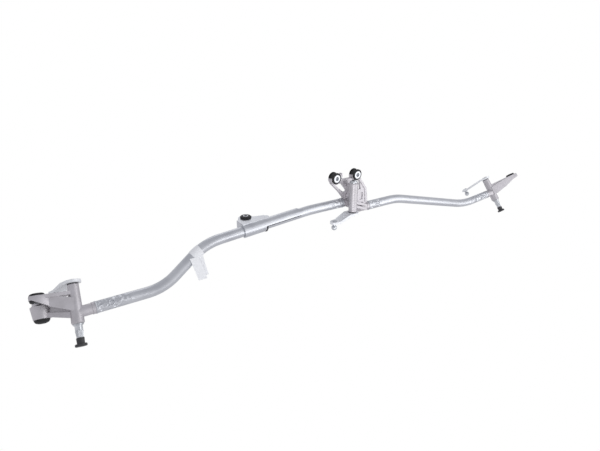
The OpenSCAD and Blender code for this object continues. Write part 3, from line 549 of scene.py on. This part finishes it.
def end_weld_and_shade():
    """The weld across the saddle's right end, from the tongue down to the foot of the skirt, drawn dark as painted
    shade where the saddle's end meets the tube.
    """
    first, last = WELD_TURN
    piece = start(bpy.ops.mesh.primitive_circle_add, "end_weld_and_shade", vertices=12, radius=END_BEAD * MM,
                  fill_type="NGON")
    place(piece, along(round_tube(first) * (TUBE_R + END_BEAD_OFF) * MM, (math.cos(first), math.sin(first), 0)))
    sweep(last - first, 24, (0, 0, 0), (0, 0, 1))
    ripple(piece, 0.25, 3)
    place(piece, on_saddle(SADDLE_X + SADDLE_LEN))
    settle(piece, "zinc_steel", "frame", WELD_SHADE)


def tongue_weld_and_shade():
    """The thin weld along the tongue's lower edge, drawn dark as painted shade for the gap between the tongue and the
    tube.
    """
    piece = start(bpy.ops.mesh.primitive_circle_add, "tongue_weld_and_shade", vertices=10, radius=TONGUE_BEAD * MM,
                  fill_type="NGON")
    place(piece, Matrix.Translation(round_tube(math.radians(-1)) * (TUBE_R + TONGUE_BEAD_OFF) * MM))
    bpy.ops.object.mode_set(mode="EDIT")
    bpy.ops.mesh.select_all(action="SELECT")
    for _ in range(TONGUE_STEPS):
        bpy.ops.mesh.extrude_region_move(TRANSFORM_OT_translate={"value": (0, 0, TONGUE_LEN / TONGUE_STEPS * MM)})
    bpy.ops.mesh.select_all(action="SELECT")
    bpy.ops.mesh.normals_make_consistent(inside=False)
    ripple(piece, 0.15, 5)
    place(piece, on_saddle(SADDLE_X + SADDLE_LEN))
    settle(piece, "zinc_steel", "frame", WELD_SHADE)


dress_cad_nodes()
arm_splines()
tube_rims({"left_tube_rim": (29.0, 0, 0), "left_tube_end_rim": (545.0, 0, 81.0),
           "right_tube_rim": (623.0, 0, 60.0)})
crimp_rings({"left_crimp_ring": (53.0, 0, 0), "right_crimp_ring": (648.0, 0, 60.0),
             "right_end_crimp_ring": (1056.0, 0, 0.9)})
label_band()
label_leaf("front_leaf", top=(199.0, -10.9, 47.0), drop=46, lean=13, swing=5)
label_leaf("back_leaf", top=(207.5, -8.6, 50.0), drop=44, lean=9, swing=-4)
left_eye_wall()
socket_crown()
saddle_skirt()
end_weld_and_shade()
tongue_weld_and_shade()


# The floor in metres. It lies well below the part, which the photograph shows with nothing under it.
FLOOR_SIZE = 30.0
FLOOR_DROP = 0.35
FLOOR_MIDDLE = (0.2, 5.0)


def white_floor():
    """A pale floor, which the eye and reflections look through to the white round it."""
    bpy.ops.object.select_all(action="DESELECT")
    bpy.ops.mesh.primitive_plane_add(size=FLOOR_SIZE, location=(*FLOOR_MIDDLE, cad_box[0][2] - FLOOR_DROP))
    bpy.ops.object.transform_apply(location=True)
    floor = bpy.context.object
    floor.name = "floor"
    material, tree = blank("white_floor")
    path = add(tree, "ShaderNodeLightPath")
    matt = add(tree, "ShaderNodeBsdfDiffuse", {"Color": linear("#e6e6e6")})
    clear = add(tree, "ShaderNodeBsdfTransparent")
    seen = add(tree, "ShaderNodeMath", links={0: path.outputs["Is Camera Ray"], 1: path.outputs["Is Glossy Ray"]},
               operation="MAXIMUM")
    mix = add(tree, "ShaderNodeMixShader",
              links={"Fac": seen.outputs["Value"], 1: matt.outputs["BSDF"], 2: clear.outputs["BSDF"]})
    add(tree, "ShaderNodeOutputMaterial", links={"Surface": mix.outputs["Shader"]})
    floor.data.materials.append(material)


def studio_world():
    """Even grey light from all round, which the camera sees as white."""
    world = bpy.data.worlds.new("studio")
    bpy.context.scene.world = world
    world.use_nodes = True
    tree = world.node_tree
    tree.nodes.clear()
    path = add(tree, "ShaderNodeLightPath")
    sky = add(tree, "ShaderNodeTexCoord").outputs["Generated"]
    height = add(tree, "ShaderNodeSeparateXYZ", links={"Vector": sky})
    shade = add(tree, "ShaderNodeValToRGB", links={"Fac": height.outputs["Z"]},
                stops=((0.05, "#e6e6ea"), (0.8, "#cdced3")))
    ambient = add(tree, "ShaderNodeBackground", {"Strength": 0.95}, {"Color": shade.outputs["Color"]})
    white = add(tree, "ShaderNodeBackground", {"Color": linear("#ffffff"), "Strength": 1.0})
    mix = add(tree, "ShaderNodeMixShader",
              links={"Fac": path.outputs["Is Camera Ray"], 1: ambient.outputs["Background"],
                     2: white.outputs["Background"]})
    add(tree, "ShaderNodeOutputWorld", links={"Surface": mix.outputs["Shader"]})


def softbox(name, stand, aim, size, watts, spread=180):
    """A square lamp that looks at a point of the part."""
    lamp = bpy.data.lights.new(name, "AREA")
    lamp.size = size
    lamp.energy = watts
    lamp.spread = math.radians(spread)
    holder = bpy.data.objects.new(name, lamp)
    bpy.context.scene.collection.objects.link(holder)
    holder.location = stand
    holder.rotation_euler = (Vector(aim) - Vector(stand)).to_track_quat("-Z", "Y").to_euler()


def photo_camera():
    """The photograph's viewpoint: near the left end, looking along the tubes and down."""
    camera = bpy.data.cameras.new("photo_camera")
    camera.sensor_width = 36
    camera.lens = 28.08
    camera.clip_start = 0.01
    holder = bpy.data.objects.new("photo_camera", camera)
    bpy.context.scene.collection.objects.link(holder)
    right = (0.81527, -0.57908, 0.0)
    up = (0.20649, 0.29072, 0.93426)
    back = (-0.54101, -0.76168, 0.35659)
    stand = (-0.4096, -0.7592, 0.3122)
    holder.matrix_world = Matrix([*zip(right, up, back, stand), (0, 0, 0, 1)])
    bpy.context.scene.camera = holder


white_floor()
studio_world()
softbox("key", (1.5, -1.5, 0.9), (0.5, 0, 0), size=1.4, watts=6)
softbox("low", (1.4, -1.0, -0.2), (0.6, 0, 0), size=0.8, watts=2.6)
softbox("rim", (0.6, 1.6, 1.2), (0.3, 0, 0), size=1.0, watts=2.5)
softbox("front", (0.75, -1.5, -0.1), (0.35, 0, 0), size=0.8, watts=3)
softbox("centre", (-0.35, -0.95, -0.3), (0.26, 0, 0.03), size=0.45, watts=0.2, spread=45)
photo_camera()
bpy.context.scene.view_settings.view_transform = "Standard"
